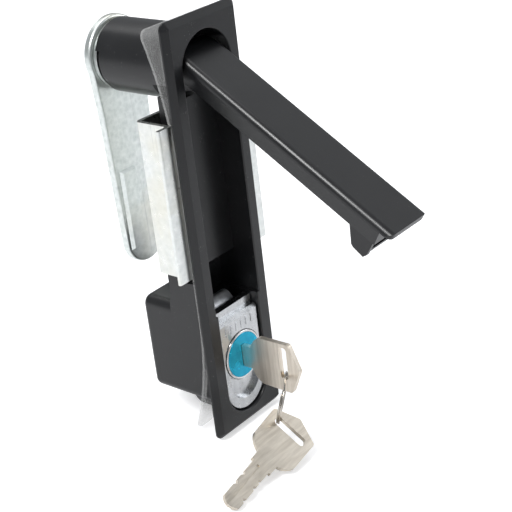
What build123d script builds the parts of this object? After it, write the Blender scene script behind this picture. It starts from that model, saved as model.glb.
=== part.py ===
"""Flush swing-handle paddle latch for a cabinet door, with push-button release and keys.

Frame: the origin is where the cam axis crosses the panel face (the back of the flange).
X runs across the latch, Y runs back through the door, Z runs up along the plate.
The handle stands swung out to its stop, and the cam hangs down in the closed position.
"""

from build123d import *
import math
import os

os.makedirs("parts", exist_ok=True)

# ---------------------------------------------------------------- driving dimensions
# Escutcheon plate and the recess behind it
plate_width = 35.0
plate_height = 150.0
axis_to_top = 17.5          # cam axis below the top edge
plate_thickness = 2.4
edge_wall = 0.6             # straight wall below the bevel
bevel_width = 2.1
opening_half = 11.5         # handle recess, half its width
trough_floor = 7.1          # depth of the recess floor behind the flange
wall = 1.5
floor_wall = 2.0
floor_end = -70.8           # lower end of the shallow floor
pocket_floor = 14.7         # depth of the catch pocket
pocket_end = -85.9          # where the catch pocket meets the button bay

# Cam barrel
barrel_radius = 12.4
bore_radius = 10.9
knuckle_depth = 11.9        # the front chamber that the handle knuckle turns in
barrel_end = 36.0
neck_radius = 7.6
neck_start = 28.0
rim_start = 32.0
rim_radius = 11.2
notch_depth = 1.7

# Handle
swing_out = 58.3            # angle between the shown handle and its folded place
pivot_depth = 4.5           # handle pin behind the flange
handle_half = 9.7
handle_reach = 89.9         # pin to tip
handle_top = 6.9            # outer face above the pin axis
handle_under = -1.1         # lower edge of the side walls
handle_edge = 2.2           # rounding of the long edges
pin_radius = 1.5
tongue_half = 2.6
slot_half = 6.2

# Cam
cam_front = 37.8
cam_thickness = 2.5
cam_head = 13.1
cam_tip_radius = 9.7
cam_reach = 67.1
square_size = 8.0

# Mounting bracket
bracket_half = 18.0
bracket_flange = 22.0
bracket_back = 16.0
bracket_gauge = 1.5
bracket_top = -15.5
bracket_bottom = -69.3
gasket_thickness = 0.95
gasket_half = 17.0
screw_heights = (-28.0, -57.0)

# Button bay
bay_half = 10.55
bay_wall = 1.4
button_half = 10.1
button_face = -1.4
button_back = 4.2
button_top = -91.3
button_low = -117.0         # centre of the round lower end
ledge_top = -86.9
ledge_depth = 1.2
cylinder_height = -105.7
tube_radius = 7.0
web_front = 10.5
web_back = 13.5

# Rear cover
cover_half = 15.0
cover_back = 29.5
cover_top = -83.0
cover_bottom = -119.7
cover_wall = 1.6
cover_round = 3.5
post_places = ((-9.6, -88.8), (9.6, -115.0))

# Catch
catch_half = 6.9
catch_top = -85.4
catch_bottom = -92.0

# Keys
key_gauge = 1.8
key_half = 3.35
bow_half = 9.35
key_shoulder = -2.25

plate_top = axis_to_top
plate_bottom = axis_to_top - plate_height
cam_back = cam_front + cam_thickness


def frontal(depth):
    """Plane parallel to the door: local x is X, local y is Z, a negative extrusion goes back."""
    return Plane(origin=(0, depth, 0), x_dir=(1, 0, 0), z_dir=(0, -1, 0))


def save(part, label):
    """Label one piece and write it to its own file."""
    part.label = label
    export_step(part, f"parts/{label}.step")


def band(left, right, low, high):
    """Rectangle from its four sides."""
    with Locations(((left + right) / 2, (low + high) / 2)):
        Rectangle(right - left, high - low)


def slot_outline(half, top, low):
    """Straight-sided outline with a square top and a round lower end."""
    band(-half, half, low, top)
    with Locations((0, low)):
        Circle(half)


def coil(radius, wire, pitch, turns, place):
    """Round-wire helical spring standing along the z direction of a plane."""
    with BuildPart() as spring:
        with BuildLine():
            path = Helix(pitch=pitch, height=pitch * turns, radius=radius)
        with BuildSketch(Plane(origin=path @ 0, z_dir=path % 0)):
            Circle(wire)
        sweep(is_frenet=True)
    return place.location * spring.part


# ---------------------------------------------------------------- escutcheon
with BuildPart() as escutcheon:
    with BuildSketch(frontal(0)):
        with Locations((0, (plate_top + plate_bottom) / 2)):
            RectangleRounded(plate_width, plate_height, 2.6)
    extrude(amount=edge_wall)
    bevel_rise = plate_thickness - edge_wall
    bevel_face = escutcheon.faces().sort_by(Axis.Y)[0]
    extrude(bevel_face, amount=bevel_rise, taper=math.degrees(math.atan(bevel_width / bevel_rise)))
    # cam barrel and recess shell behind the flange
    with BuildSketch(frontal(0)):
        Circle(barrel_radius)
    extrude(amount=-barrel_end)
    with BuildSketch(frontal(0)):
        band(-opening_half - wall, opening_half + wall, floor_end - 2.0, -8.0)
    extrude(amount=-(trough_floor + floor_wall))
    with BuildSketch(frontal(0)):
        band(-opening_half - wall, opening_half + wall, pocket_end - wall, floor_end + 0.9)
    extrude(amount=-(pocket_floor + floor_wall))
    with BuildSketch(frontal(0)):
        slot_outline(bay_half + bay_wall, pocket_end, button_low)
    extrude(amount=-web_back)
    # two bosses for the bracket screws, two posts for the cover screws
    with BuildSketch(frontal(trough_floor)):
        with Locations(*[(0, height) for height in screw_heights]):
            Circle(4.0)
    extrude(amount=-(bracket_back - bracket_gauge - 0.1 - trough_floor))
    with BuildSketch(frontal(web_back - 0.5)):
        with Locations(*post_places):
            Circle(2.7)
    extrude(amount=-(cover_back - cover_wall - 0.05 - web_back + 0.5))
    # side lugs that carry the cover
    for side in (-1, 1):
        with BuildSketch(Plane.YZ.offset(side * 16.3)):
            with BuildLine():
                Polyline((0, -70.5), (1.0, -71.5), (7.2, -72.5), (10.45, -75.1), (13.5, -78.9),
                         (14.3, -81.8), (14.4, -87.7), (13.9, -90.3), (12.9, -91.2), (0, -91.2),
                         (0, -70.5))
            make_face()
        extrude(amount=-side * 1.15)
        with BuildSketch(Plane.YZ.offset(side * 16.3)):
            with BuildLine():
                Polyline((0, -70.5), (1.0, -71.5), (7.2, -72.5), (10.45, -75.1), (13.5, -78.9),
                         (14.2, -81.5), (14.2, -82.7), (0, -82.7), (0, -70.5))
            make_face()
        extrude(amount=-side * 4.0)
    # handle chamber, shallow floor, catch pocket and button bay, all open to the front
    with BuildSketch(frontal(-plate_thickness)):
        Circle(opening_half)
        band(-opening_half, opening_half, -opening_half, 0)
    extrude(amount=-(plate_thickness + knuckle_depth), mode=Mode.SUBTRACT)
    with BuildSketch(frontal(-plate_thickness)):
        band(-opening_half, opening_half, floor_end, -opening_half)
    extrude(amount=-(plate_thickness + trough_floor), mode=Mode.SUBTRACT)
    with BuildSketch(frontal(-plate_thickness)):
        band(-opening_half, opening_half, pocket_end, floor_end)
    extrude(amount=-(plate_thickness + pocket_floor), mode=Mode.SUBTRACT)
    with BuildSketch(frontal(-plate_thickness)):
        slot_outline(bay_half, pocket_end, button_low)
    extrude(amount=-(plate_thickness + web_front), mode=Mode.SUBTRACT)
    # shelf under the catch spring and two guides beside the catch
    with BuildSketch(frontal(6.4)):
        band(-bay_half - 0.5, bay_half + 0.5, -97.2, -95.8)
        for side in (-1, 1):
            with Locations((side * (catch_half + 0.9), -92.6)):
                Rectangle(1.2, 8.0)
    extrude(amount=-(web_front - 6.4 + 0.5))
    # bore, collar, rear rim and its stop notch
    with BuildSketch(frontal(knuckle_depth - 0.5)):
        Circle(bore_radius)
    extrude(amount=-(neck_start - knuckle_depth + 0.5), mode=Mode.SUBTRACT)
    with BuildSketch(frontal(neck_start - 1)):
        Circle(neck_radius)
    extrude(amount=-(rim_start - neck_start + 2), mode=Mode.SUBTRACT)
    with BuildSketch(frontal(rim_start)):
        Circle(rim_radius)
    extrude(amount=-(barrel_end - rim_start + 1), mode=Mode.SUBTRACT)
    with BuildSketch(frontal(barrel_end - notch_depth)):
        with BuildLine():
            arms = [(40 * math.cos(math.radians(t)), 40 * math.sin(math.radians(t)))
                    for t in (160, 205, 250, 290)]
            Polyline((0, 0), *arms, (0, 0))
        make_face()
    extrude(amount=-(notch_depth + 1), mode=Mode.SUBTRACT)
    # holes for the lock tube and the screws
    with BuildSketch(frontal(web_front - 1)):
        with Locations((0, cylinder_height)):
            Circle(tube_radius + 0.2)
    extrude(amount=-(web_back - web_front + 2), mode=Mode.SUBTRACT)
    with BuildSketch(frontal(trough_floor + 0.6)):
        with Locations(*[(0, height) for height in screw_heights]):
            Circle(2.1)
    extrude(amount=-10, mode=Mode.SUBTRACT)
    with BuildSketch(frontal(web_back + 3)):
        with Locations(*post_places):
            Circle(1.25)
    extrude(amount=-15, mode=Mode.SUBTRACT)
    # softened rim of the opening
    rim_edges = [e for e in escutcheon.edges()
                 if abs(e.center().Y + plate_thickness) < 0.01
                 and e.bounding_box().max.X < opening_half + 0.1
                 and e.bounding_box().min.X > -opening_half - 0.1]
    fillet(rim_edges, 0.5)
save(escutcheon.part, "escutcheon")

# ---------------------------------------------------------------- gasket
bow_up_start = -32.0
bow_up_radius = 133.0
bow_down_start = -86.0
bow_down_radius = 118.0


def bow(radius, inner, rise):
    """Depth of a bowed end at a height past its start, on the front or the back skin."""
    return radius - math.sqrt((radius - inner) ** 2 - rise ** 2)


with BuildPart() as gasket:
    with BuildSketch(Plane.YZ):
        with BuildLine():
            up = 46.5
            down = 44.8
            skins = (0.0, gasket_thickness)
            Line((skins[0], bow_down_start), (skins[0], bow_up_start))
            ThreePointArc((skins[0], bow_up_start),
                          (bow(bow_up_radius, 0, up / 2), bow_up_start + up / 2),
                          (bow(bow_up_radius, 0, up), bow_up_start + up))
            Line((bow(bow_up_radius, 0, up), bow_up_start + up),
                 (bow(bow_up_radius, skins[1], up), bow_up_start + up))
            ThreePointArc((bow(bow_up_radius, skins[1], up), bow_up_start + up),
                          (bow(bow_up_radius, skins[1], up / 2), bow_up_start + up / 2),
                          (skins[1], bow_up_start))
            Line((skins[1], bow_up_start), (skins[1], bow_down_start))
            ThreePointArc((skins[1], bow_down_start),
                          (bow(bow_down_radius, skins[1], down / 2), bow_down_start - down / 2),
                          (bow(bow_down_radius, skins[1], down), bow_down_start - down))
            Line((bow(bow_down_radius, skins[1], down), bow_down_start - down),
                 (bow(bow_down_radius, 0, down), bow_down_start - down))
            ThreePointArc((bow(bow_down_radius, 0, down), bow_down_start - down),
                          (bow(bow_down_radius, 0, down / 2), bow_down_start - down / 2),
                          (skins[0], bow_down_start))
        make_face()
    extrude(amount=gasket_half, both=True)
    top_edge = bow_up_start + up
    low_edge = bow_down_start - down
    with BuildSketch(frontal(-1)):
        with Locations((0, (top_edge + low_edge) / 2)):
            RectangleRounded(2 * gasket_half, top_edge - low_edge, 3.0)
    extrude(amount=-20, mode=Mode.INTERSECT)
    with BuildSketch(frontal(-1)):
        Circle(barrel_radius + 0.5)
        band(-opening_half - wall - 0.4, opening_half + wall + 0.4, -84.0, 0)
        band(-16.4, 16.4, -91.5, -70.2)
        band(-cover_half - 0.4, cover_half + 0.4, cover_bottom - 0.4, -84.0)
        slot_outline(bay_half + bay_wall + 0.3, -100, button_low)
    extrude(amount=-20, mode=Mode.SUBTRACT)
    with BuildSketch(frontal(1.0)):
        band(16.3, 24, bracket_bottom - 0.3, bracket_top + 0.3)
        band(-24, -16.3, bracket_bottom - 0.3, bracket_top + 0.3)
    extrude(amount=-10, mode=Mode.SUBTRACT)
save(gasket.part, "gasket")

# ---------------------------------------------------------------- handle
swing = math.radians(swing_out)
handle_y = (0, math.sin(swing), math.cos(swing))
handle_z = (0, -math.cos(swing), math.sin(swing))
pivot = (0, pivot_depth, 0)
handle_side = Plane(origin=pivot, x_dir=handle_y, z_dir=(1, 0, 0))
handle_plan = Plane(origin=pivot, x_dir=(1, 0, 0), z_dir=handle_z)

with BuildPart() as handle:
    # long cap with its round knuckle, tapered side walls and soft long edges
    with BuildSketch(handle_side):
        with BuildLine():
            Polyline((-86.0, handle_under), (-86.0, 4.6), (-handle_reach, 4.6),
                     (-handle_reach, handle_top), (0, handle_top))
            ThreePointArc((0, handle_top), (handle_top, 0), (0, -handle_top))
            Polyline((0, -handle_top), (-4.2, -5.47), (-9.5, handle_under), (-86.0, handle_under))
        make_face()
    extrude(amount=handle_half, both=True)
    long_edges = [e for e in handle.edges()
                  if abs(abs(e.center().X) - handle_half) < 0.01
                  and handle_plan.to_local_coords(e.center()).Z > 4.7]
    knuckle_edges = [e for e in handle.edges().filter_by(GeomType.CIRCLE)
                     if abs(abs(e.center().X) - handle_half) < 0.01]
    fillet(long_edges + [e for e in knuckle_edges if e not in long_edges], handle_edge)
    taper_plane = Plane(origin=handle_plan.from_local_coords((0, 10.0, 0)), x_dir=(1, 0, 0),
                        z_dir=(0, -handle_y[1], -handle_y[2]))
    for side in (-1, 1):
        with BuildSketch(taper_plane):
            with BuildLine():
                Polyline((side * handle_half, 4.3), (side * (handle_half - 1.0), handle_under),
                         (side * (handle_half - 1.0), -9.0), (side * (handle_half + 2), -9.0),
                         (side * (handle_half + 2), 4.3), (side * handle_half, 4.3))
            make_face()
        extrude(amount=110, mode=Mode.SUBTRACT)
    # hook under the tip: two cheeks, and a toe between them that the catch holds
    with BuildSketch(handle_side):
        with BuildLine():
            Polyline((-75.4, 0.0), (-76.4, -1.6), (-79.5, -6.6), (-80.4, -7.1), (-84.7, -7.6),
                     (-85.5, -6.2), (-85.5, 0.0), (-75.4, 0.0))
        make_face()
    extrude(amount=8.7, both=True)
    # hollow underside
    with BuildSketch(handle_plan.offset(5.0)):
        band(-7.4, 7.4, -74.0, -9.5)
    extrude(amount=-12, mode=Mode.SUBTRACT)
    with BuildSketch(handle_side):
        with BuildLine():
            Polyline((-90, -1.1), (-82.0, -1.1), (-82.0, -6.6), (-84.6, -6.6), (-84.6, -9),
                     (-90, -9), (-90, -1.1))
        make_face()
    extrude(amount=7.25, both=True, mode=Mode.SUBTRACT)
    # fork for the tongue of the rotor and the spring
    with BuildSketch(handle_side):
        Circle(4.9)
        band(0, 12, -12, 4.9)
        band(-9.5, 0, -12, 2.0)
    extrude(amount=slot_half, both=True, mode=Mode.SUBTRACT)
    with BuildSketch(Plane.YZ.offset(-20)):
        with Locations((pivot_depth, 0)):
            Circle(pin_radius + 0.05)
    extrude(amount=40, mode=Mode.SUBTRACT)
save(handle.part, "handle")

with BuildPart() as pin:
    with BuildSketch(Plane.YZ.offset(-9.3)):
        with Locations((pivot_depth, 0)):
            Circle(pin_radius)
    extrude(amount=18.6)
    chamfer(pin.edges().filter_by(GeomType.CIRCLE), 0.3)
save(pin.part, "handle_pivot_pin")

# Torsion spring coils on the pin, one each side of the tongue
spring_pair = [coil(2.6, 0.4, 0.85, 3, Plane(origin=(start, pivot_depth, 0), x_dir=(0, 1, 0),
                                             z_dir=(1, 0, 0))) for start in (-5.65, 3.1)]
save(Compound(spring_pair), "handle_spring")

# ---------------------------------------------------------------- rotor
with BuildPart() as rotor:
    with BuildSketch(frontal(knuckle_depth + 0.15)):
        Circle(bore_radius - 0.06)
    extrude(amount=-(neck_start - knuckle_depth - 0.25))
    with BuildSketch(frontal(neck_start - 1)):
        Circle(neck_radius - 0.06)
    extrude(amount=-(rim_start - neck_start + 2))
    with BuildSketch(frontal(rim_start)):
        Rectangle(square_size, square_size)
    extrude(amount=-(cam_back - 0.2 - rim_start))
    # tongue to the handle pin
    with BuildSketch(Plane.YZ):
        with Locations((pivot_depth, 0)):
            Circle(4.4)
        band(pivot_depth, knuckle_depth + 1, -3.6, 3.6)
    extrude(amount=tongue_half, both=True)
    with BuildSketch(Plane.YZ.offset(-5)):
        with Locations((pivot_depth, 0)):
            Circle(pin_radius + 0.02)
    extrude(amount=10, mode=Mode.SUBTRACT)
    # seal groove and tapped hole
    with BuildSketch(Plane.YZ):
        band(18.0, 20.4, bore_radius - 1.7, bore_radius + 1)
    revolve(axis=Axis.Y, mode=Mode.SUBTRACT)
    with BuildSketch(frontal(cam_back + 1)):
        Circle(2.55)
    extrude(amount=16, mode=Mode.SUBTRACT)
save(rotor.part, "rotor")

with BuildPart() as seal:
    with BuildSketch(Plane.YZ):
        with Locations((19.2, bore_radius - 0.85)):
            Circle(0.83)
    revolve(axis=Axis.Y)
save(seal.part, "rotor_o_ring")

# Stop disc on the square, with a lug that runs in the notch of the rim
with BuildPart() as stop_disc:
    with BuildSketch(frontal(barrel_end + 0.1)):
        Circle(11.6)
        Rectangle(square_size + 0.06, square_size + 0.06, mode=Mode.SUBTRACT)
    extrude(amount=-1.5)
    with BuildSketch(frontal(barrel_end - notch_depth + 0.1)):
        with BuildLine():
            fan = [(12.2 * math.cos(math.radians(t)), 12.2 * math.sin(math.radians(t)))
                   for t in (253, 270, 287)]
            ThreePointArc(*fan)
            Line(fan[2], (10.4 * fan[2][0] / 12.2, 10.4 * fan[2][1] / 12.2))
            Line((10.4 * fan[2][0] / 12.2, 10.4 * fan[2][1] / 12.2),
                 (10.4 * fan[0][0] / 12.2, 10.4 * fan[0][1] / 12.2))
            Line((10.4 * fan[0][0] / 12.2, 10.4 * fan[0][1] / 12.2), fan[0])
        make_face()
    extrude(amount=-(notch_depth + 1.5))
save(stop_disc.part, "stop_disc")

# ---------------------------------------------------------------- cam
with BuildPart() as cam:
    with BuildSketch(frontal(cam_front)):
        Circle(cam_head)
        with Locations((0, -cam_reach)):
            Circle(cam_tip_radius)
        with BuildLine():
            Polyline((-12.4, -4.2), (12.4, -4.2), (11.2, -19.5), (cam_tip_radius, -cam_reach),
                     (-cam_tip_radius, -cam_reach), (-11.2, -19.5), (-12.4, -4.2))
        make_face()
    extrude(amount=-cam_thickness)
    outer = [e for e in cam.edges() if abs(e.center().Y - cam_front) < 0.01]
    fillet(outer, 0.9)
    # stiffening rib pressed forward, hollow at the back
    with BuildSketch(frontal(cam_front)):
        band(-8.2, -0.8, -70.0, -40.0)
    extrude(amount=1.2, taper=35)
    with BuildSketch(frontal(cam_back)):
        band(-7.0, -2.0, -68.8, -41.2)
    extrude(amount=1.6, taper=35, mode=Mode.SUBTRACT)
    with BuildSketch(frontal(cam_front - 2)):
        Rectangle(square_size + 0.1, square_size + 0.1)
    extrude(amount=-8, mode=Mode.SUBTRACT)
save(cam.part, "cam")

with BuildPart() as cam_washer:
    with BuildSketch(frontal(cam_back)):
        Circle(9.0)
        Circle(3.2, mode=Mode.SUBTRACT)
    extrude(amount=-1.5)
    chamfer(cam_washer.edges().filter_by(GeomType.CIRCLE).sort_by(Axis.Y)[-1], 0.3)
save(cam_washer.part, "cam_washer")

with BuildPart() as cam_screw:
    with BuildSketch(frontal(cam_back + 1.5)):
        RegularPolygon(5.0, 6, major_radius=False)
    extrude(amount=-4.0)
    with BuildSketch(frontal(cam_back + 2)):
        Circle(2.5)
    extrude(amount=13)
save(cam_screw.part, "cam_screw")

# ---------------------------------------------------------------- mounting bracket
with BuildPart() as bracket:
    with BuildSketch(Plane.XY.offset(bracket_bottom)):
        with BuildLine():
            outline = Polyline((-bracket_flange, 1.75), (-17.25, 1.75), (-17.25, 15.25),
                               (17.25, 15.25), (17.25, 1.75), (bracket_flange, 1.75))
            offset(amount=bracket_gauge / 2, kind=Kind.INTERSECTION)
        make_face()
    extrude(amount=bracket_top - bracket_bottom)
    bends = [e for e in bracket.edges().filter_by(Axis.Z)
             if 14 < abs(e.center().X) < 18.5]
    inner_bends = [e for e in bends if abs(abs(e.center().X) - 16.5) < 0.01
                   and e.center().Y > 10]
    outer_bends = [e for e in bends if abs(abs(e.center().X) - 18.0) < 0.01
                   and e.center().Y > 10]
    fillet(inner_bends, 0.6)
    fillet(outer_bends, 2.1)
    toe_bends = [e for e in bracket.edges().filter_by(Axis.Z)
                 if abs(abs(e.center().X) - 18.0) < 0.01 and e.center().Y < 4]
    fillet(toe_bends, 0.8)
    with BuildSketch(frontal(bracket_back + 1)):
        with Locations(*[(0, height) for height in screw_heights]):
            Circle(2.6)
    extrude(amount=4, mode=Mode.SUBTRACT)
save(bracket.part, "mounting_bracket")

with BuildPart() as bracket_washers:
    with BuildSketch(frontal(bracket_back)):
        with Locations(*[(0, height) for height in screw_heights]):
            Circle(5.0)
            Circle(2.6, mode=Mode.SUBTRACT)
    extrude(amount=-1.0)
save(bracket_washers.part, "bracket_washers")

with BuildPart() as bracket_screws:
    with BuildSketch(frontal(bracket_back + 1.0)):
        with Locations(*[(0, height) for height in screw_heights]):
            Circle(4.2)
    extrude(amount=-2.8)
    fillet(bracket_screws.edges().filter_by(GeomType.CIRCLE).group_by(Axis.Y)[-1], 1.4)
    with BuildSketch(frontal(bracket_back + 1.5)):
        with Locations(*[(0, height) for height in screw_heights]):
            Circle(2.05)
    extrude(amount=9.0)
save(bracket_screws.part, "bracket_screws")

# ---------------------------------------------------------------- rear cover
with BuildPart() as cover:
    with BuildSketch(frontal(1.1)):
        band(-cover_half, cover_half, cover_bottom, cover_top)
    extrude(amount=-(cover_back - 1.1))
    fillet(cover.edges().filter_by(Axis.Y), cover_round)
    fillet(cover.faces().sort_by(Axis.Y)[-1].edges(), 2.2)
    with BuildSketch(frontal(0)):
        with Locations((0, (cover_top + cover_bottom) / 2)):
            RectangleRounded(2 * (cover_half - cover_wall),
                             cover_top - cover_bottom - 2 * cover_wall, cover_round - cover_wall)
    extrude(amount=-(cover_back - cover_wall), mode=Mode.SUBTRACT)
    with BuildSketch(frontal(0)):
        band(-opening_half - wall - 0.1, opening_half + wall + 0.1, -90, cover_top + 1)
    extrude(amount=-(pocket_floor + floor_wall + 0.1), mode=Mode.SUBTRACT)
    with BuildSketch(frontal(0)):
        band(-bay_half - bay_wall - 0.1, bay_half + bay_wall + 0.1, cover_bottom - 1, -110)
    extrude(amount=-(web_back + 0.1), mode=Mode.SUBTRACT)
    with BuildSketch(frontal(cover_back + 1)):
        with Locations(*post_places):
            Circle(1.8)
    extrude(amount=5, mode=Mode.SUBTRACT)
save(cover.part, "rear_cover")

with BuildPart() as cover_screws:
    with BuildSketch(frontal(cover_back)):
        with Locations(*post_places):
            Circle(3.0)
    extrude(amount=-1.9)
    fillet(cover_screws.edges().filter_by(GeomType.CIRCLE).group_by(Axis.Y)[-1], 0.9)
    with BuildSketch(frontal(cover_back + 0.5)):
        with Locations(*post_places):
            Circle(1.2)
    extrude(amount=9.0)
save(cover_screws.part, "cover_screws")

# ---------------------------------------------------------------- push button
with BuildPart() as button:
    with BuildSketch(Plane.YZ.offset(-12)):
        with BuildLine():
            Polyline((button_face, button_top), (-0.3, -90.2), (ledge_depth, -90.2),
                     (ledge_depth, ledge_top), (button_back, ledge_top), (button_back, -130),
                     (button_face, -130), (button_face, button_top))
        make_face()
    extrude(amount=24)
    with BuildSketch(frontal(-5)):
        slot_outline(button_half, ledge_top, button_low)
    extrude(amount=-15, mode=Mode.INTERSECT)
    face_rim = [e for e in button.edges()
                if abs(e.center().Y - button_face) < 0.01 and e.center().Z < button_top - 0.1]
    fillet(face_rim, 0.5)
    # seat of the lock cylinder, finger recess below it, grip bars above it
    with BuildSketch(frontal(button_face - 1)):
        with Locations((0, cylinder_height)):
            Circle(9.25)
    extrude(amount=-(1 + 1.7), mode=Mode.SUBTRACT)
    with BuildSketch(frontal(button_face - 1)):
        with Locations((0, cylinder_height)):
            Circle(tube_radius + 0.04)
    extrude(amount=-12, mode=Mode.SUBTRACT)
    with BuildSketch(frontal(button_face - 1)):
        with Locations((0, -115.3)):
            Circle(7.7)
        band(-7.7, 7.7, -115.3, cylinder_height)
        with Locations((0, cylinder_height)):
            Circle(9.6, mode=Mode.SUBTRACT)
    extrude(amount=-(1 + 1.8), mode=Mode.SUBTRACT)
    with BuildSketch(frontal(button_face + 0.1)):
        with GridLocations(2.7, 1, 6, 1):
            with Locations((0, -94.0)):
                Rectangle(1.0, 3.2)
    extrude(amount=0.35)
save(button.part, "push_button")

save(coil(7.75, 0.42, 1.75, 3, Plane(origin=(0, button_back + 0.45, cylinder_height),
                                     x_dir=(1, 0, 0), z_dir=(0, 1, 0))), "button_spring")

# ---------------------------------------------------------------- lock cylinder
with BuildPart() as lock_cylinder:
    with BuildSketch(frontal(-1.9)):
        with Locations((0, cylinder_height)):
            Circle(9.0)
    extrude(amount=-(1.9 - 0.2))
    fillet(lock_cylinder.edges().filter_by(GeomType.CIRCLE).sort_by(Axis.Y)[0], 0.3)
    with BuildSketch(frontal(-0.5)):
        with Locations((0, cylinder_height)):
            Circle(tube_radius)
    extrude(amount=-20.5)
    with BuildSketch(frontal(-3)):
        with Locations((0, cylinder_height)):
            Circle(8.3)
    extrude(amount=-2.2, mode=Mode.SUBTRACT)
    with BuildSketch(frontal(-3)):
        with Locations((0, cylinder_height)):
            Circle(5.5)
    extrude(amount=-30, mode=Mode.SUBTRACT)
    with BuildSketch(Plane.YZ):
        band(14.6, 15.5, cylinder_height + 6.3, cylinder_height + 8)
    revolve(axis=Axis(origin=(0, 0, cylinder_height), direction=(0, 1, 0)), mode=Mode.SUBTRACT)
save(lock_cylinder.part, "lock_cylinder")

with BuildPart() as plug:
    with BuildSketch(frontal(-0.75)):
        with Locations((0, cylinder_height)):
            Circle(5.45)
            Rectangle(2.2, 7.0, mode=Mode.SUBTRACT)
    extrude(amount=-21.2)
    with BuildSketch(frontal(20.1)):
        with Locations((0, cylinder_height)):
            Circle(5.45)
    extrude(amount=-0.6)
    with BuildSketch(frontal(20.5)):
        with Locations((0, cylinder_height)):
            Rectangle(4.0, 7.0)
    extrude(amount=-2.2)
save(plug.part, "lock_plug")

with BuildPart() as plug_cap:
    with BuildSketch(frontal(-2.1)):
        with Locations((0, cylinder_height)):
            Circle(8.25)
            Rectangle(2.2, 7.0, mode=Mode.SUBTRACT)
    extrude(amount=-1.3)
    fillet(plug_cap.edges().filter_by(GeomType.CIRCLE).sort_by(Axis.Y)[0], 0.25)
save(plug_cap.part, "plug_cap")

with BuildPart() as tail:
    with BuildSketch(frontal(20.75)):
        with Locations((0, cylinder_height)):
            Circle(5.2)
        band(-2.6, 2.6, cylinder_height, cylinder_height + 8.0)
        with Locations((0, cylinder_height + 8.0)):
            Circle(2.6)
        with Locations((0, cylinder_height)):
            Rectangle(4.04, 7.04, mode=Mode.SUBTRACT)
    extrude(amount=-1.5)
save(tail.part, "lock_tail")

with BuildPart() as clip:
    with BuildSketch(frontal(14.6)):
        with Locations((0, cylinder_height)):
            Circle(8.8)
            Circle(6.35, mode=Mode.SUBTRACT)
        with Locations((0, cylinder_height - 8)):
            Rectangle(7.0, 8.0, mode=Mode.SUBTRACT)
    extrude(amount=-0.85)
save(clip.part, "cylinder_clip")

# ---------------------------------------------------------------- catch
with BuildPart() as catch:
    with BuildSketch(Plane.YZ):
        with BuildLine():
            Line((10.4, catch_bottom), (10.4, catch_top))
            Line((10.4, catch_top), (9.4, catch_top))
            ThreePointArc((9.4, catch_top), (7.15, -86.9), (5.6, -90.4))
            Line((5.6, -90.4), (6.6, catch_bottom))
            Line((6.6, catch_bottom), (10.4, catch_bottom))
        make_face()
    extrude(amount=catch_half, both=True)
    chamfer(catch.edges().filter_by(GeomType.LINE).filter_by(Axis.Y).sort_by(Axis.Z)[-2:], 0.4)
save(catch.part, "catch_slide")

catch_springs = [coil(1.5, 0.25, 0.78, 4, Plane(origin=(place, 8.5, -95.5), x_dir=(1, 0, 0),
                                                z_dir=(0, 0, 1))) for place in (-4.0, 4.0)]
save(Compound(catch_springs), "catch_spring")


# ---------------------------------------------------------------- keys and ring
def make_key(place, hole_from, hole_to, hole_low, hole_high):
    """Flat key on a plane: local x runs out along the bow, local y across it."""
    with BuildPart() as key:
        with BuildSketch(place):
            with BuildLine():
                Polyline((-17.5, -key_half), (0, -key_half), (0, -4.2), (4.0, -4.2))
                ThreePointArc((4.0, -4.2), (5.4, -6.9), (8.3, -9.1))
                Polyline((8.3, -9.1), (21.0, -bow_half), (25.0, 0.0), (21.0, bow_half), (8.3, 9.1))
                ThreePointArc((8.3, 9.1), (5.4, 6.9), (4.0, 4.2))
                Polyline((4.0, 4.2), (0, 4.2), (0, key_half), (-17.5, key_half))
                ThreePointArc((-17.5, key_half), (-19.4, 0), (-17.5, -key_half))
            make_face()
        extrude(amount=key_gauge / 2, both=True)
        corners = [e for e in key.edges()
                   if e.length < key_gauge + 0.01 and place.to_local_coords(e.center()).X > 6]
        fillet(corners, 1.2)
        with BuildSketch(place):
            with Locations(((hole_from + hole_to) / 2, (hole_low + hole_high) / 2)):
                RectangleRounded(hole_to - hole_from, hole_high - hole_low, 1.2)
        extrude(amount=5, both=True, mode=Mode.SUBTRACT)
        for side in (-1, 1):
            with BuildSketch(place.offset(side * key_gauge / 2)):
                with Locations((-10, side * 0.9)):
                    Rectangle(19.0, 1.0)
            extrude(amount=-side * 0.45, mode=Mode.SUBTRACT)
        with BuildSketch(place):
            with Locations((-5.0, key_half), (-8.2, key_half), (-14.2, key_half)):
                RegularPolygon(1.1, 4)
            with Locations((-6.6, -key_half), (-11.2, -key_half)):
                RegularPolygon(1.1, 4)
        extrude(amount=5, both=True, mode=Mode.SUBTRACT)
    return key.part


key_plane = Plane(origin=(0, key_shoulder, cylinder_height), x_dir=(0, -1, 0), z_dir=(1, 0, 0))
save(make_key(key_plane, 16.6, 19.9, -7.9, 4.5), "key")

spare_out = Vector(0.983, 0.065, 0.172)
spare_flat = Vector(0.083, 0.676, -0.732)
spare_plane = Plane(origin=(-23.94, -25.26, -130.89), x_dir=spare_out, z_dir=spare_flat)
save(make_key(spare_plane, 16.6, 19.9, -6.5, 6.5), "spare_key")

ring_centre = (-1.56, -18.98, -117.63)
ring_normal = (0.5017, -0.8286, -0.2485)
ring_plane = Plane(origin=ring_centre, x_dir=(0.8552, 0.5183, 0), z_dir=ring_normal)
with BuildPart() as ring:
    with BuildSketch(Plane(origin=ring_plane.origin, x_dir=ring_plane.x_dir,
                           z_dir=-ring_plane.y_dir)):
        for level in (-0.34, 0.34):
            with Locations((8.75, level)):
                RectangleRounded(1.1, 0.68, 0.2)
    revolve(axis=Axis(ring_plane.origin, ring_plane.z_dir))
save(ring.part, "key_ring")
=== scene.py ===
"""Looks of the flush swing-handle paddle latch: finishes, small fastener detail, camera and studio."""

import bpy
import numpy as np
from mathutils import Matrix, Vector


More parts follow.
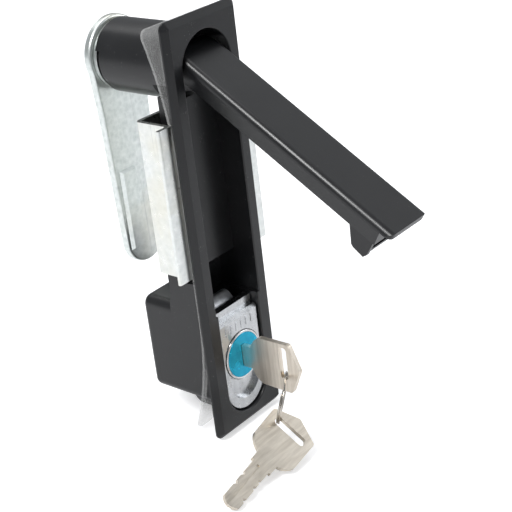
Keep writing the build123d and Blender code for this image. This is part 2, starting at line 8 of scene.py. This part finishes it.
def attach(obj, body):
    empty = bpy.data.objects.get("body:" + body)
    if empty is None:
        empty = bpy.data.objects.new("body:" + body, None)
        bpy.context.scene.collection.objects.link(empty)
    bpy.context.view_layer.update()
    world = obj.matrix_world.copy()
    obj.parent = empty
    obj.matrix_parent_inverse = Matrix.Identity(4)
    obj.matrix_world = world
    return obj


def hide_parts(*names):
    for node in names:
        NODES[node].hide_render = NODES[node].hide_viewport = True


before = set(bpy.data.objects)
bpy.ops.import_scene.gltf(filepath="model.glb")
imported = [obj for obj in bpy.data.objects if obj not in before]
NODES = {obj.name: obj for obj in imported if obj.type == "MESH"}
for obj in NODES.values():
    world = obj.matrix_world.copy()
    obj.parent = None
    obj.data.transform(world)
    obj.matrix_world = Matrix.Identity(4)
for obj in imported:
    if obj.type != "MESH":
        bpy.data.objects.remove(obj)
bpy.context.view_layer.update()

MM = 0.001
DUST_GREY = (0.32, 0.31, 0.30, 1.0)
SCUFF_GREY = (0.45, 0.46, 0.45, 1.0)
FLAKE_CYAN = (0.10, 0.70, 0.88, 1.0)


# ---------------------------------------------------------------- shader building blocks
def new_group(name, inputs, outputs):
    """Empty shader node group with named float, colour or vector sockets."""
    group = bpy.data.node_groups.new(name, "ShaderNodeTree")
    kinds = {"float": "NodeSocketFloat", "color": "NodeSocketColor", "vector": "NodeSocketVector"}
    for label, kind, value in inputs:
        socket = group.interface.new_socket(name=label, in_out="INPUT", socket_type=kinds[kind])
        if value is not None:
            socket.default_value = value
    for label, kind in outputs:
        group.interface.new_socket(name=label, in_out="OUTPUT", socket_type=kinds[kind])
    start = group.nodes.new("NodeGroupInput")
    end = group.nodes.new("NodeGroupOutput")
    return group, start, end


def noise_node(tree, coords, scale, detail=3.0, roughness=0.5, distortion=0.0):
    """Noise texture on the given coordinates."""
    node = tree.nodes.new("ShaderNodeTexNoise")
    tree.links.new(coords, node.inputs["Vector"])
    if isinstance(scale, (int, float)):
        node.inputs["Scale"].default_value = scale
    else:
        tree.links.new(scale, node.inputs["Scale"])
    node.inputs["Detail"].default_value = detail
    node.inputs["Roughness"].default_value = roughness
    node.inputs["Distortion"].default_value = distortion
    return node


def math_node(tree, operation, first, second):
    """Math node whose two values are sockets or numbers."""
    node = tree.nodes.new("ShaderNodeMath")
    node.operation = operation
    for slot, value in zip(node.inputs, (first, second)):
        if isinstance(value, (int, float)):
            slot.default_value = value
        else:
            tree.links.new(value, slot)
    return node.outputs[0]


def spread(tree, value, low, high, to_low=0.0, to_high=1.0):
    """Map a value from one range onto another, clamped."""
    node = tree.nodes.new("ShaderNodeMapRange")
    node.clamp = True
    tree.links.new(value, node.inputs["Value"])
    ends = (("From Min", low), ("From Max", high), ("To Min", to_low), ("To Max", to_high))
    for label, number in ends:
        if isinstance(number, (int, float)):
            node.inputs[label].default_value = number
        else:
            tree.links.new(number, node.inputs[label])
    return node.outputs["Result"]


def mix_colour(tree, factor, first, second):
    """Mix of two colours, each a socket or a tuple."""
    node = tree.nodes.new("ShaderNodeMix")
    node.data_type = "RGBA"
    if isinstance(factor, (int, float)):
        node.inputs["Factor"].default_value = factor
    else:
        tree.links.new(factor, node.inputs["Factor"])
    for label, value in (("A", first), ("B", second)):
        socket = [s for s in node.inputs if s.name == label and s.type == "RGBA"][0]
        if isinstance(value, tuple):
            socket.default_value = value
        else:
            tree.links.new(value, socket)
    return [s for s in node.outputs if s.type == "RGBA"][0]


def make_powder_group():
    """Satin powder coat: a fine orange-peel height, a faint cloud of tone and rare bright specks."""
    group, start, end = new_group(
        "powder_coat_skin",
        [("Coordinates", "vector", None), ("Peel Scale", "float", 900.0),
         ("Speck Amount", "float", 0.5)],
        [("Height", "float"), ("Cloud", "float"), ("Specks", "float")])
    coords = start.outputs["Coordinates"]
    peel = noise_node(group, coords, start.outputs["Peel Scale"], detail=2.0, roughness=0.55)
    cloud = noise_node(group, coords, 45.0, detail=3.0, roughness=0.6)
    dust = noise_node(group, coords, 2300.0, detail=1.0, roughness=0.5)
    sparse = noise_node(group, coords, 260.0, detail=2.0, roughness=0.5)
    speck = spread(group, dust.outputs["Fac"], 0.70, 0.76)
    place = spread(group, sparse.outputs["Fac"], 0.52, 0.66)
    both = math_node(group, "MULTIPLY", speck, place)
    group.links.new(peel.outputs["Fac"], end.inputs["Height"])
    group.links.new(cloud.outputs["Fac"], end.inputs["Cloud"])
    specks = math_node(group, "MULTIPLY", both, start.outputs["Speck Amount"])
    group.links.new(specks, end.inputs["Specks"])
    return group


def make_plating_group():
    """Zinc plating: small crystal mottling, broad tint clouds and hairline scuffs."""
    group, start, end = new_group(
        "zinc_plating",
        [("Coordinates", "vector", None), ("Crystal Scale", "float", 420.0)],
        [("Mottle", "float"), ("Tint", "float"), ("Scuff", "float"), ("Height", "float")])
    coords = start.outputs["Coordinates"]
    crystal = group.nodes.new("ShaderNodeTexVoronoi")
    group.links.new(coords, crystal.inputs["Vector"])
    group.links.new(start.outputs["Crystal Scale"], crystal.inputs["Scale"])
    grain = noise_node(group, coords, 700.0, detail=4.0, roughness=0.65)
    mottle = math_node(group, "ADD", math_node(group, "MULTIPLY", grain.outputs["Fac"], 0.7),
                       math_node(group, "MULTIPLY", crystal.outputs["Distance"], 0.35))
    tint = noise_node(group, coords, 38.0, detail=3.0, roughness=0.6, distortion=0.4)
    stretch = group.nodes.new("ShaderNodeMapping")
    stretch.inputs["Scale"].default_value = (900.0, 900.0, 22.0)
    stretch.inputs["Rotation"].default_value = (0.0, 0.35, 0.2)
    group.links.new(coords, stretch.inputs["Vector"])
    hair = noise_node(group, stretch.outputs["Vector"], 1.0, detail=2.0, roughness=0.5)
    group.links.new(mottle, end.inputs["Mottle"])
    group.links.new(tint.outputs["Fac"], end.inputs["Tint"])
    group.links.new(spread(group, hair.outputs["Fac"], 0.62, 0.75), end.inputs["Scuff"])
    group.links.new(grain.outputs["Fac"], end.inputs["Height"])
    return group


def make_brush_group():
    """Brushed metal: fine parallel scratches along one direction of the piece."""
    group, start, end = new_group(
        "brushed_lines",
        [("Coordinates", "vector", None), ("Stretch", "vector", (1.0, 1.0, 1.0))],
        [("Lines", "float"), ("Blotch", "float")])
    stretch = group.nodes.new("ShaderNodeVectorMath")
    stretch.operation = "MULTIPLY"
    group.links.new(start.outputs["Coordinates"], stretch.inputs[0])
    group.links.new(start.outputs["Stretch"], stretch.inputs[1])
    lines = noise_node(group, stretch.outputs["Vector"], 1.0, detail=3.0, roughness=0.6)
    blotch = noise_node(group, start.outputs["Coordinates"], 160.0, detail=3.0, roughness=0.6)
    group.links.new(lines.outputs["Fac"], end.inputs["Lines"])
    group.links.new(blotch.outputs["Fac"], end.inputs["Blotch"])
    return group


POWDER = make_powder_group()
PLATING = make_plating_group()
BRUSH = make_brush_group()


def start_material(name, roughness, metallic):
    """Material with one Principled shader, object coordinates and plain gloss values."""
    material = bpy.data.materials.new(name)
    material.use_nodes = True
    tree = material.node_tree
    tree.nodes.clear()
    out = tree.nodes.new("ShaderNodeOutputMaterial")
    shader = tree.nodes.new("ShaderNodeBsdfPrincipled")
    shader.inputs["Roughness"].default_value = roughness
    shader.inputs["Metallic"].default_value = metallic
    tree.links.new(shader.outputs["BSDF"], out.inputs["Surface"])
    coords = tree.nodes.new("ShaderNodeTexCoord")
    return material, tree, shader, coords.outputs["Object"]


def place_group(tree, group, coords, **values):
    """Put a shared group into a material with its own values."""
    node = tree.nodes.new("ShaderNodeGroup")
    node.node_tree = group
    tree.links.new(coords, node.inputs["Coordinates"])
    for label, value in values.items():
        node.inputs[label.replace("_", " ")].default_value = value
    return node


def add_bump(tree, shader, height, strength, distance):
    """Bump from a height socket into the shader's normal."""
    bump = tree.nodes.new("ShaderNodeBump")
    bump.inputs["Strength"].default_value = strength
    bump.inputs["Distance"].default_value = distance
    tree.links.new(height, bump.inputs["Height"])
    tree.links.new(bump.outputs["Normal"], shader.inputs["Normal"])


def powder_material(name, dark, light, gloss, specks):
    """Black satin powder coat with orange peel, faint clouds and dust specks."""
    material, tree, shader, coords = start_material(name, gloss, 0.0)
    skin = place_group(tree, POWDER, coords, Peel_Scale=900.0, Speck_Amount=specks)
    base = mix_colour(tree, spread(tree, skin.outputs["Cloud"], 0.35, 0.7), dark, light)
    dusty = mix_colour(tree, skin.outputs["Specks"], base, DUST_GREY)
    tree.links.new(dusty, shader.inputs["Base Color"])
    tree.links.new(spread(tree, skin.outputs["Cloud"], 0.3, 0.75, gloss - 0.03, gloss + 0.05),
                   shader.inputs["Roughness"])
    add_bump(tree, shader, skin.outputs["Height"], 0.12, 0.05 * MM)
    return material


def plated_material(name, pale, deep, warm, gloss, crystal=420.0):
    """Zinc-plated steel: mottled grey with pale green-blue and yellowish clouds."""
    material, tree, shader, coords = start_material(name, gloss, 1.0)
    skin = place_group(tree, PLATING, coords, Crystal_Scale=crystal)
    mottled = mix_colour(tree, spread(tree, skin.outputs["Mottle"], 0.3, 0.75), deep, pale)
    tint = spread(tree, skin.outputs["Tint"], 0.5, 0.72, 0.0, 0.55)
    tinted = mix_colour(tree, tint, mottled, warm)
    scuffed = mix_colour(tree, math_node(tree, "MULTIPLY", skin.outputs["Scuff"], 0.35), tinted,
                         SCUFF_GREY)
    tree.links.new(scuffed, shader.inputs["Base Color"])
    tree.links.new(spread(tree, skin.outputs["Mottle"], 0.3, 0.8, gloss + 0.08, gloss - 0.06),
                   shader.inputs["Roughness"])
    add_bump(tree, shader, skin.outputs["Height"], 0.10, 0.04 * MM)
    return material


def brushed_material(name, light, dark, gloss, stretch, depth=0.18):
    """Brushed metal with lines along one direction."""
    material, tree, shader, coords = start_material(name, gloss, 1.0)
    skin = place_group(tree, BRUSH, coords, Stretch=stretch)
    lined = mix_colour(tree, spread(tree, skin.outputs["Lines"], 0.3, 0.72), dark, light)
    aged = mix_colour(tree, spread(tree, skin.outputs["Blotch"], 0.5, 0.8, 0.0, 0.4), lined, dark)
    tree.links.new(aged, shader.inputs["Base Color"])
    tree.links.new(spread(tree, skin.outputs["Blotch"], 0.3, 0.7, gloss - 0.05, gloss + 0.08),
                   shader.inputs["Roughness"])
    add_bump(tree, shader, skin.outputs["Lines"], depth, 0.05 * MM)
    return material


def rubber_material(name, colour, gloss, see_through=1.0):
    """Soft sheet or ring with a faint cloud; see_through is its opacity, and below 1 the
    background shows."""
    material, tree, shader, coords = start_material(name, gloss, 0.0)
    cloud = noise_node(tree, coords, 120.0, detail=3.0, roughness=0.6)
    darker = tuple(0.86 * c for c in colour[:3]) + (1.0,)
    tree.links.new(mix_colour(tree, cloud.outputs["Fac"], darker, colour), shader.inputs["Base Color"])
    fine = noise_node(tree, coords, 1500.0, detail=2.0, roughness=0.5)
    add_bump(tree, shader, fine.outputs["Fac"], 0.08, 0.05 * MM)
    if see_through < 1.0:
        cover = spread(tree, cloud.outputs["Fac"], 0.2, 0.8, see_through - 0.03, see_through + 0.03)
        tree.links.new(cover, shader.inputs["Alpha"])
    return material


def anodised_material(name, bright, deep, gloss):
    """Coloured metallic lacquer with fine flake and soft turning marks."""
    material, tree, shader, coords = start_material(name, gloss, 0.55)
    flake = noise_node(tree, coords, 1900.0, detail=2.0, roughness=0.6)
    cloud = noise_node(tree, coords, 240.0, detail=3.0, roughness=0.5)
    base = mix_colour(tree, spread(tree, cloud.outputs["Fac"], 0.3, 0.75), deep, bright)
    sparkle = mix_colour(tree, spread(tree, flake.outputs["Fac"], 0.55, 0.8, 0.0, 0.25), base,
                         FLAKE_CYAN)
    tree.links.new(sparkle, shader.inputs["Base Color"])
    tree.links.new(spread(tree, cloud.outputs["Fac"], 0.3, 0.7, gloss - 0.04, gloss + 0.06),
                   shader.inputs["Roughness"])
    add_bump(tree, shader, flake.outputs["Fac"], 0.08, 0.03 * MM)
    return material


BLACK = (0.0065, 0.0068, 0.0075, 1.0)
BLACK_LIGHT = (0.0105, 0.0108, 0.0118, 1.0)
# pale, deep and warm tones of the small zinc-plated pieces; light and dark of spring steel
SMALL_ZINC = ((0.68, 0.70, 0.69, 1.0), (0.50, 0.52, 0.51, 1.0), (0.62, 0.58, 0.46, 1.0))
SPRING_STEEL = ((0.5, 0.49, 0.47, 1.0), (0.3, 0.29, 0.28, 1.0))
FINISHES = {
    "escutcheon": powder_material("escutcheon_powder_coat", BLACK, BLACK_LIGHT, 0.30, 0.5),
    "handle": powder_material("handle_powder_coat", BLACK, BLACK_LIGHT, 0.30, 0.12),
    "rear_cover": powder_material("cover_powder_coat", BLACK, BLACK_LIGHT, 0.33, 0.3),
    "rotor": powder_material("rotor_black_finish", BLACK, BLACK_LIGHT, 0.38, 0.1),
    "gasket": rubber_material("clear_gasket_sheet", (0.80, 0.80, 0.79, 1.0), 0.28, 0.22),
    "rotor_o_ring": rubber_material("seal_black_rubber", (0.012, 0.012, 0.012, 1.0), 0.5),
    "cam": plated_material("cam_zinc_plate", (0.88, 0.92, 0.90, 1.0), (0.68, 0.73, 0.71, 1.0),
                           (0.70, 0.68, 0.58, 1.0), 0.34, 520.0),
    "mounting_bracket": plated_material("bracket_zinc_plate", (0.90, 0.92, 0.90, 1.0),
                                        (0.76, 0.79, 0.77, 1.0), (0.80, 0.78, 0.66, 1.0), 0.30),
    "stop_disc": plated_material("stop_disc_zinc_plate", (0.66, 0.68, 0.67, 1.0),
                                 (0.48, 0.50, 0.49, 1.0), (0.62, 0.58, 0.45, 1.0), 0.34),
    "cam_washer": plated_material("cam_washer_zinc_plate", (0.74, 0.75, 0.74, 1.0),
                                  (0.56, 0.58, 0.57, 1.0), (0.66, 0.62, 0.50, 1.0), 0.30),
    "cam_screw": plated_material("cam_screw_zinc_plate", (0.70, 0.72, 0.71, 1.0),
                                 (0.50, 0.52, 0.51, 1.0), (0.62, 0.58, 0.46, 1.0), 0.30),
    "bracket_washers": plated_material("bracket_washer_zinc_plate", (0.72, 0.73, 0.72, 1.0),
                                       (0.54, 0.56, 0.55, 1.0), (0.64, 0.60, 0.48, 1.0), 0.30),
    "bracket_screws": plated_material("bracket_screw_zinc_plate", *SMALL_ZINC, 0.30),
    "cover_screws": plated_material("cover_screw_zinc_plate", *SMALL_ZINC, 0.30),
    "lock_tail": plated_material("tail_zinc_plate", *SMALL_ZINC, 0.30),
    "push_button": brushed_material("button_satin_chrome", (0.66, 0.67, 0.68, 1.0),
                                    (0.52, 0.53, 0.54, 1.0), 0.24, (500.0, 500.0, 60.0), 0.06),
    "lock_cylinder": brushed_material("cylinder_chrome", (0.82, 0.82, 0.82, 1.0),
                                      (0.66, 0.66, 0.66, 1.0), 0.16, (300.0, 300.0, 300.0), 0.05),
    "cylinder_clip": brushed_material("clip_spring_steel", (0.42, 0.42, 0.42, 1.0),
                                      (0.28, 0.28, 0.28, 1.0), 0.35, (400.0, 400.0, 400.0)),
    "catch_slide": brushed_material("catch_cast_zinc", (0.62, 0.64, 0.66, 1.0),
                                    (0.46, 0.47, 0.49, 1.0), 0.40, (500.0, 500.0, 300.0)),
    "lock_plug": brushed_material("plug_turned_brass", (0.62, 0.50, 0.28, 1.0),
                                  (0.42, 0.33, 0.17, 1.0), 0.32, (900.0, 60.0, 900.0)),
    "plug_cap": anodised_material("cap_blue_lacquer", (0.0, 0.50, 0.74, 1.0),
                                  (0.0, 0.30, 0.48, 1.0), 0.24),
    "key": brushed_material("key_brushed_nickel", (0.88, 0.81, 0.71, 1.0), (0.66, 0.59, 0.50, 1.0),
                            0.34, (900.0, 900.0, 40.0)),
    "spare_key": brushed_material("spare_key_brushed_nickel", (0.90, 0.83, 0.72, 1.0),
                                  (0.68, 0.61, 0.51, 1.0), 0.34, (60.0, 900.0, 900.0)),
    "key_ring": brushed_material("ring_nickel_wire", (0.66, 0.62, 0.56, 1.0), (0.42, 0.39, 0.35, 1.0),
                                 0.22, (300.0, 300.0, 300.0), 0.05),
    "handle_pivot_pin": brushed_material("pin_ground_steel", (0.6, 0.6, 0.6, 1.0), (0.4, 0.4, 0.4, 1.0),
                                         0.28, (60.0, 900.0, 900.0)),
    "handle_spring": brushed_material("torsion_spring_wire", (0.46, 0.45, 0.43, 1.0),
                                      (0.26, 0.25, 0.24, 1.0), 0.3, (500.0, 500.0, 500.0)),
    "button_spring": brushed_material("button_spring_wire", *SPRING_STEEL, 0.3,
                                      (500.0, 500.0, 500.0)),
    "catch_spring": brushed_material("catch_spring_wire", *SPRING_STEEL, 0.3,
                                      (500.0, 500.0, 500.0)),
}

for node_name, finish in FINISHES.items():
    mesh = NODES[node_name].data
    mesh.materials.clear()
    mesh.materials.append(finish)


# ---------------------------------------------------------------- fine pieces
# Sizes in millimetres. A screw's place is where its axis meets the seat under its head.
BRACKET_SCREW = {"head_radius": 4.2, "head_height": 2.8, "shank_radius": 2.05, "length": 8.4, "pitch": 0.8}
BRACKET_SCREW_PLACES = ((0.0, 17.0, -28.0), (0.0, 17.0, -57.0))
COVER_SCREW = {"head_radius": 3.0, "head_height": 1.9, "shank_radius": 1.2, "length": 8.4, "pitch": 0.5}
COVER_SCREW_PLACES = ((-9.6, 29.5, -88.8), (9.6, 29.5, -115.0))

RING_CENTRE = (-1.56, -18.98, -117.63)
RING_AXIS = (0.5017, -0.8286, -0.2485)
RING_RADIUS = 8.75
WIRE_HALF_WIDTH = 0.55
WIRE_HALF_HEIGHT = 0.322
TURN_SPACING = 0.67         # from the wire's first turn to its second, along the ring's axis
END_ANGLE = 0.40            # how far each wire end stops short of two full turns, in radians
STEP_ANGLE = 0.33           # half of the stretch where the wire steps from turn to turn
RING_START = -1.1           # where round the ring the wire begins


def closed_surface(rows):
    """Points and faces of a closed surface from an array of rows by columns by 3.

    Each row is a ring whose last column joins its first. The first and last rows are each gathered
    in their mean point, which the next ring meets in a fan of triangles."""
    count, around = rows.shape[:2]
    rings = rows[1:-1].reshape(-1, 3)
    points = np.vstack([rows[0].mean(0, keepdims=True), rings, rows[-1].mean(0, keepdims=True)])
    column = np.arange(around)
    following = (column + 1) % around
    row = np.arange(count - 3)[:, None] * around + 1
    quads = np.stack([row + column, row + following, row + around + following, row + around + column],
                     axis=-1).reshape(-1, 4)
    top = np.stack([np.zeros_like(column), 1 + following, 1 + column], axis=-1)
    last_ring = 1 + (count - 3) * around
    foot = np.stack([np.full_like(column, len(points) - 1), last_ring + column, last_ring + following],
                    axis=-1)
    return points, top.tolist() + quads.tolist() + foot.tolist()


def add_piece(name, surfaces, node, body):
    """One object of one or more closed surfaces, which stands for a CAD node and has its finish."""
    points = []
    faces = []
    base = 0
    for rows in surfaces:
        some_points, some_faces = closed_surface(rows)
        points.append(some_points)
        faces += [[base + index for index in face] for face in some_faces]
        base += len(some_points)
    mesh = bpy.data.meshes.new(name)
    mesh.from_pydata(np.vstack(points).tolist(), [], faces)
    mesh.validate()
    mesh.update()
    mesh.materials.append(FINISHES[node])
    mesh.polygons.foreach_set("use_smooth", np.ones(len(mesh.polygons), bool))
    piece = bpy.data.objects.new(name, mesh)
    bpy.context.scene.collection.objects.link(piece)
    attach(piece, body)
    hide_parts(node)


def screw_rows(place, head_radius, head_height, shank_radius, length, pitch):
    """Pan-head screw with a cross recess and a rolled thread, its head towards +Y.

    Over the head the height is a crown, less a recess. The crown is the head height times 0.45 plus
    0.55 times the square root of one minus the cube of the radius fraction. The recess is deep where
    the distance from either of two crossed bars is small, and fades before the bars' ends. Along the
    shank the radius is shank_radius less the thread depth times a triangle wave of depth over pitch
    minus the turn angle, and it narrows at the tip."""
    around, head_rows, rows_per_thread, least_shank_rows = 96, 40, 8, 24
    recess_depth = 0.62 * head_height
    thread_depth = 0.32 * pitch
    turn = np.linspace(0.0, 2.0 * np.pi, around, endpoint=False)[None, :]

    part = np.linspace(0.0, 1.0, head_rows)[:, None]
    flat_x = part * head_radius * np.cos(turn)
    flat_z = part * head_radius * np.sin(turn)
    arm = 0.13 * head_radius
    reach = 0.55 * head_radius
    near = np.minimum(np.abs(flat_x), np.abs(flat_z))
    radius = np.hypot(flat_x, flat_z)
    bar = (np.clip((arm - near) / (0.35 * arm) + 0.5, 0.0, 1.0)
           * np.clip((reach - radius) / (0.5 * reach), 0, 1))
    crown = head_height * (0.45 + 0.55 * np.sqrt(np.clip(1.0 - part ** 3, 0.0, 1.0)))
    head = np.stack([flat_x, crown - recess_depth * bar, flat_z], axis=-1)

    rim_part = np.array([1.0, 1.0, (shank_radius * 1.02) / head_radius])[:, None]
    rim_y = np.array([0.25 * head_height, 0.0, 0.0])[:, None] + 0.0 * turn
    rim = np.stack([rim_part * head_radius * np.cos(turn), rim_y,
                    rim_part * head_radius * np.sin(turn)], axis=-1)

    along = np.linspace(0.0, 1.0, max(least_shank_rows, int(rows_per_thread * length / pitch)))[:, None]
    phase = (along * length / pitch - turn / (2.0 * np.pi)) % 1.0
    ridge = np.abs(2.0 * phase - 1.0)
    taper = np.clip((1.0 - along) / 0.05, 0.35, 1.0)
    shank_r = (shank_radius - thread_depth * ridge * np.clip(along / 0.05, 0, 1)) * taper
    shank = np.stack([shank_r * np.cos(turn), -along * length + 0.0 * turn, shank_r * np.sin(turn)],
                     axis=-1)
    foot = np.stack([0.0 * turn, np.full_like(turn, -length), 0.0 * turn], axis=-1)
    return np.concatenate([head, rim, shank, foot], axis=0) * MM + np.array(place) * MM


def split_ring_rows():
    """Flat-wire split ring of nearly two turns.

    The wire's centre runs round a circle while its offset along the ring's axis rises by the turn
    spacing over a short smooth step at the end of the first turn; the section is a rounded
    rectangle, given by a superellipse of power four."""
    centre = np.array(RING_CENTRE)
    axis = np.array(RING_AXIS)
    axis /= np.linalg.norm(axis)
    first = np.cross(axis, (0.0, 0.0, 1.0))
    first /= np.linalg.norm(first)
    second = np.cross(axis, first)
    angle = np.linspace(END_ANGLE, 4.0 * np.pi - END_ANGLE, 420)
    step = np.clip((angle - (2.0 * np.pi - STEP_ANGLE)) / (2.0 * STEP_ANGLE), 0.0, 1.0)
    offset = -0.5 * TURN_SPACING + TURN_SPACING * step * step * (3.0 - 2.0 * step)
    out = (np.cos(angle + RING_START)[:, None] * first
           + np.sin(angle + RING_START)[:, None] * second)
    spine = centre + RING_RADIUS * out + offset[:, None] * axis
    turn = np.linspace(0.0, 2.0 * np.pi, 24, endpoint=False)
    cos, sin = np.cos(turn), np.sin(turn)
    size = (cos ** 4 + sin ** 4) ** -0.25
    wide = WIRE_HALF_WIDTH * size * cos
    tall = WIRE_HALF_HEIGHT * size * sin
    rows = spine[:, None, :] + wide[None, :, None] * out[:, None, :] + tall[None, :, None] * axis
    inset = np.array([0.0, 0.75])[:, None, None]
    head = rows[:1] * inset + spine[0] * (1.0 - inset)
    tail = rows[-1:] * inset[::-1] + spine[-1] * (1.0 - inset[::-1])
    return np.concatenate([head, rows, tail], axis=0) * MM


add_piece("bracket_pan_screws", [screw_rows(place, **BRACKET_SCREW) for place in BRACKET_SCREW_PLACES],
          "bracket_screws", "housing")
add_piece("cover_pan_screws", [screw_rows(place, **COVER_SCREW) for place in COVER_SCREW_PLACES],
          "cover_screws", "housing")
add_piece("split_key_ring", [split_ring_rows()], "key_ring", "key_ring")


# ---------------------------------------------------------------- studio
# Places in metres. The lamps are (name, place, what it faces, width and height, watts, colour).
CAMERA_PLACE = (-0.2870, -0.27075, 0.1132)
CAMERA_RIGHT = (0.62607, -0.77224, -0.10804)
CAMERA_UP = (0.38945, 0.18964, 0.90131)
CAMERA_BACK = (-0.67554, -0.60637, 0.41948)
TABLE_UP = (0.0, -0.139, 0.9903)
TABLE_PLACE = (0.0, 0.0, -0.1335)
TABLE_REACH = 3.0
TABLE_GLOW = 0.45
ROOM_STRENGTH = 0.35
WHITE = (1.0, 1.0, 1.0)
LATCH_MIDDLE = (0.0, 0.0, -0.05)
LAMPS = (
    ("key_softbox", (-0.58, -0.12, 0.62), LATCH_MIDDLE, (0.30, 0.30), 6.0, WHITE),
    ("top_softbox", (0.15, 0.25, 0.75), LATCH_MIDDLE, (0.7, 0.7), 3.5, WHITE),
    ("right_softbox", (0.62, -0.12, 0.62), (0.0, -0.05, -0.05), (0.6, 0.6), 0.5, (0.97, 0.98, 1.0)),
    ("front_softbox", (0.70, -0.50, 0.20), LATCH_MIDDLE, (0.5, 0.5), 2.0, (0.95, 0.97, 1.0)),
)


def aim(obj, place, right, up, back):
    """Put an object at a place with its three axes given."""
    turn = Matrix((right, up, back)).transposed().to_4x4()
    obj.matrix_world = Matrix.Translation(place) @ turn


def soft_lamp(name, place, target, size, power, tint):
    """Rectangular softbox that faces a target."""
    light = bpy.data.lights.new(name, "AREA")
    light.shape = "RECTANGLE"
    light.size, light.size_y = size
    light.energy = power
    light.color = tint
    lamp = bpy.data.objects.new(name, light)
    bpy.context.scene.collection.objects.link(lamp)
    direction = (Vector(target) - Vector(place)).normalized()
    lamp.location = place
    lamp.rotation_euler = direction.to_track_quat("-Z", "Y").to_euler()


def seen_by_camera(tree):
    """One where the camera looks at the surface or through a clear piece, and nought elsewhere."""
    path = tree.nodes.new("ShaderNodeLightPath")
    return math_node(tree, "MAXIMUM", path.outputs["Is Camera Ray"], path.outputs["Is Transmission Ray"])


def add_camera():
    """Long-lens camera in front, to the left and above."""
    lens = bpy.data.cameras.new("studio_camera")
    lens.lens = 89.63
    lens.sensor_width = 36.0
    lens.clip_start = 0.01
    camera = bpy.data.objects.new("studio_camera", lens)
    bpy.context.scene.collection.objects.link(camera)
    aim(camera, Vector(CAMERA_PLACE), Vector(CAMERA_RIGHT), Vector(CAMERA_UP), Vector(CAMERA_BACK))
    bpy.context.scene.camera = camera


def add_table():
    """White table that takes shadows and shows pure white to the camera.

    The latch leans back on its lower edge, so the table under it is tilted against Z."""
    up = Vector(TABLE_UP).normalized()
    right = Vector((1.0, 0.0, 0.0))
    mesh = bpy.data.meshes.new("studio_floor")
    mesh.from_pydata([(-TABLE_REACH, -TABLE_REACH, 0), (TABLE_REACH, -TABLE_REACH, 0),
                      (TABLE_REACH, TABLE_REACH, 0), (-TABLE_REACH, TABLE_REACH, 0)],
                     [], [(0, 1, 2, 3)])
    floor = bpy.data.objects.new("studio_floor", mesh)
    bpy.context.scene.collection.objects.link(floor)
    aim(floor, Vector(TABLE_PLACE), right, up.cross(right), up)

    paint = bpy.data.materials.new("studio_floor_white")
    paint.use_nodes = True
    tree = paint.node_tree
    tree.nodes.clear()
    out = tree.nodes.new("ShaderNodeOutputMaterial")
    matt = tree.nodes.new("ShaderNodeBsdfDiffuse")
    matt.inputs["Color"].default_value = (0.86, 0.86, 0.87, 1.0)
    glow = tree.nodes.new("ShaderNodeEmission")
    glow.inputs["Color"].default_value = (1.0, 1.0, 1.0, 1.0)
    seen = seen_by_camera(tree)
    tree.links.new(math_node(tree, "MULTIPLY", seen, TABLE_GLOW), glow.inputs["Strength"])
    both = tree.nodes.new("ShaderNodeAddShader")
    tree.links.new(matt.outputs["BSDF"], both.inputs[0])
    tree.links.new(glow.outputs["Emission"], both.inputs[1])
    tree.links.new(both.outputs["Shader"], out.inputs["Surface"])
    mesh.materials.append(paint)


def add_room():
    """Dim cool room light, and a white backdrop that only the camera sees."""
    world = bpy.data.worlds.new("studio_world")
    bpy.context.scene.world = world
    world.use_nodes = True
    tree = world.node_tree
    tree.nodes.clear()
    out = tree.nodes.new("ShaderNodeOutputWorld")
    room = tree.nodes.new("ShaderNodeBackground")
    room.inputs["Color"].default_value = (0.93, 0.96, 1.0, 1.0)
    room.inputs["Strength"].default_value = ROOM_STRENGTH
    backdrop = tree.nodes.new("ShaderNodeBackground")
    backdrop.inputs["Color"].default_value = (1.0, 1.0, 1.0, 1.0)
    backdrop.inputs["Strength"].default_value = 1.0
    seen = seen_by_camera(tree)
    choose = tree.nodes.new("ShaderNodeMixShader")
    tree.links.new(seen, choose.inputs["Fac"])
    tree.links.new(room.outputs["Background"], choose.inputs[1])
    tree.links.new(backdrop.outputs["Background"], choose.inputs[2])
    tree.links.new(choose.outputs["Shader"], out.inputs["Surface"])


add_camera()
add_table()
add_room()
for lamp_settings in LAMPS:
    soft_lamp(*lamp_settings)

bpy.context.scene.view_settings.view_transform = "Standard"
